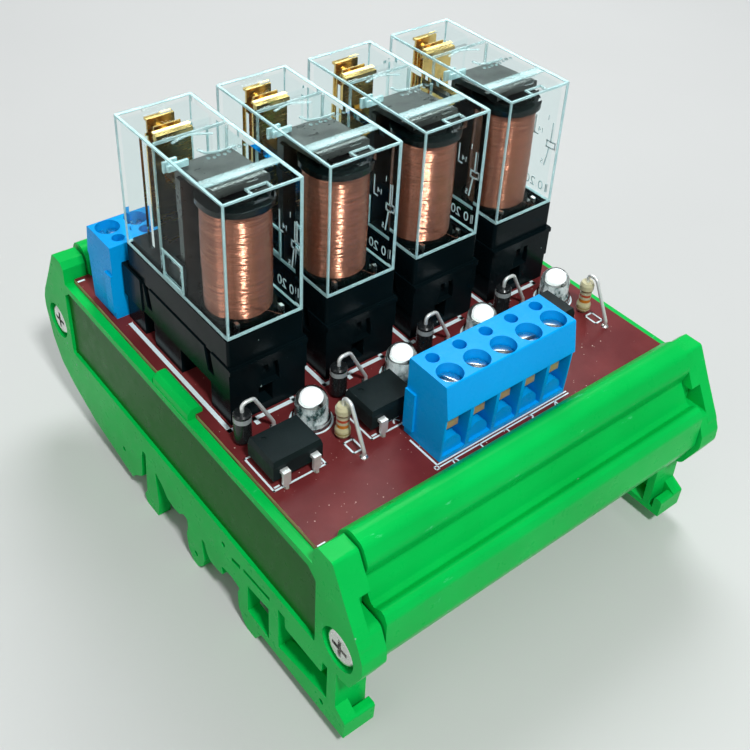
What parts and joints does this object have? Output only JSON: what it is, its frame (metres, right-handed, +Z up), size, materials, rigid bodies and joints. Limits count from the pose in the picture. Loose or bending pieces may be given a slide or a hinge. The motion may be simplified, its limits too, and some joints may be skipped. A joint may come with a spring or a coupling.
{
  "type": "relay module board",
  "caption": "Rail-mounted board with plug-in relays in clear covers, screw terminals front and rear, and rectifiers, diodes and indicator lights on a green carrier.",
  "frame": {"origin": "bottom centre of the bounding box, where the rail hooks stand", "axes": "+X along the relay row, -Y the side with the input terminal, +Z up from the rail"},
  "size_m": [0.0732, 0.0946, 0.0714],
  "materials": {
    "carrier_green": "satin moulded plastic",
    "screw_zinc": "bright zinc plate",
    "board_mask": "dark red-brown solder mask over laminate",
    "print_white": "printed ink",
    "solder_tin": "bright tin",
    "spring_brass": "rolled",
    "terminal_blue": "semi-gloss moulded plastic",
    "clamp_copper": "plain",
    "diode_black": "moulded",
    "resistor_beige": "lacquered",
    "lead_tin": "tinned wire",
    "relay_black": "satin moulded plastic",
    "clear_cover": "clear moulded plastic",
    "bobbin_black": "moulded",
    "winding_copper": "enamelled copper wire",
    "magnet_steel": "zinc plated",
    "rectifier_black": "moulded",
    "lens_clear": "clear lens"
  },
  "bodies": {
    "root": {"carrier_profile": "carrier_green", "end_plate_left": "carrier_green", "end_plate_right": "carrier_green", "end_plate_screws": "screw_zinc", "circuit_board": "board_mask", "board_print": "print_white", "solder_joints": "solder_tin", "socket_contacts": "spring_brass", "fixed_contacts": "spring_brass", "relay_pins": "solder_tin", "input_terminal": "terminal_blue", "rear_terminals": "terminal_blue", "input_clamp_screws": "screw_zinc", "rear_clamp_screws": "screw_zinc", "input_wire_clamps": "clamp_copper", "rear_wire_clamps": "clamp_copper", "diodes": "diode_black", "resistors": "resistor_beige", "component_leads": "lead_tin", "relay_socket_1": "relay_black", "relay_socket_2": "relay_black", "relay_socket_3": "relay_black", "relay_socket_4": "relay_black", "relay_base_1": "relay_black", "relay_base_2": "relay_black", "relay_base_3": "relay_black", "relay_base_4": "relay_black", "relay_cover_1": "clear_cover", "relay_cover_2": "clear_cover", "relay_cover_3": "clear_cover", "relay_cover_4": "clear_cover", "coil_bobbin_1": "bobbin_black", "coil_bobbin_2": "bobbin_black", "coil_bobbin_3": "bobbin_black", "coil_bobbin_4": "bobbin_black", "coil_winding_1": "winding_copper", "coil_winding_2": "winding_copper", "coil_winding_3": "winding_copper", "coil_winding_4": "winding_copper", "yoke_1": "magnet_steel", "yoke_2": "magnet_steel", "yoke_3": "magnet_steel", "yoke_4": "magnet_steel", "rectifier_1": "rectifier_black", "rectifier_2": "rectifier_black", "rectifier_3": "rectifier_black", "rectifier_4": "rectifier_black", "led_1": "lens_clear", "led_2": "lens_clear", "led_3": "lens_clear", "led_4": "lens_clear"},
    "armature_swing_1": {"armature_1": "magnet_steel"},
    "contact_swing_1": {"contact_spring_1": "spring_brass"},
    "armature_swing_2": {"armature_2": "magnet_steel"},
    "contact_swing_2": {"contact_spring_2": "spring_brass"},
    "armature_swing_3": {"armature_3": "magnet_steel"},
    "contact_swing_3": {"contact_spring_3": "spring_brass"},
    "armature_swing_4": {"armature_4": "magnet_steel"},
    "contact_swing_4": {"contact_spring_4": "spring_brass"}
  },
  "joints": [
    {"name": "armature_hinge_1", "type": "hinge", "parent": "root", "child": "armature_swing_1", "pos_m": [-0.0255, 0.00525, 0.0677], "axis": [1, 0, 0], "range_deg": [0, 4.5], "stiffness_Nm_per_rad": 0.02, "springref_deg": -5.73},
    {"name": "contact_hinge_1", "type": "hinge", "parent": "root", "child": "contact_swing_1", "pos_m": [-0.0255, 0.01622, 0.0517], "axis": [-1, 0, 0], "range_deg": [0, 2.2], "stiffness_Nm_per_rad": 0.01, "springref_deg": -5.73},
    {"name": "armature_hinge_2", "type": "hinge", "parent": "root", "child": "armature_swing_2", "pos_m": [-0.0085, 0.00525, 0.0677], "axis": [1, 0, 0], "range_deg": [0, 4.5], "stiffness_Nm_per_rad": 0.02, "springref_deg": -5.73},
    {"name": "contact_hinge_2", "type": "hinge", "parent": "root", "child": "contact_swing_2", "pos_m": [-0.0085, 0.01622, 0.0517], "axis": [-1, 0, 0], "range_deg": [0, 2.2], "stiffness_Nm_per_rad": 0.01, "springref_deg": -5.73},
    {"name": "armature_hinge_3", "type": "hinge", "parent": "root", "child": "armature_swing_3", "pos_m": [0.0085, 0.00525, 0.0677], "axis": [1, 0, 0], "range_deg": [0, 4.5], "stiffness_Nm_per_rad": 0.02, "springref_deg": -5.73},
    {"name": "contact_hinge_3", "type": "hinge", "parent": "root", "child": "contact_swing_3", "pos_m": [0.0085, 0.01622, 0.0517], "axis": [-1, 0, 0], "range_deg": [0, 2.2], "stiffness_Nm_per_rad": 0.01, "springref_deg": -5.73},
    {"name": "armature_hinge_4", "type": "hinge", "parent": "root", "child": "armature_swing_4", "pos_m": [0.0255, 0.00525, 0.0677], "axis": [1, 0, 0], "range_deg": [0, 4.5], "stiffness_Nm_per_rad": 0.02, "springref_deg": -5.73},
    {"name": "contact_hinge_4", "type": "hinge", "parent": "root", "child": "contact_swing_4", "pos_m": [0.0255, 0.01622, 0.0517], "axis": [-1, 0, 0], "range_deg": [0, 2.2], "stiffness_Nm_per_rad": 0.01, "springref_deg": -5.73}
  ]
}
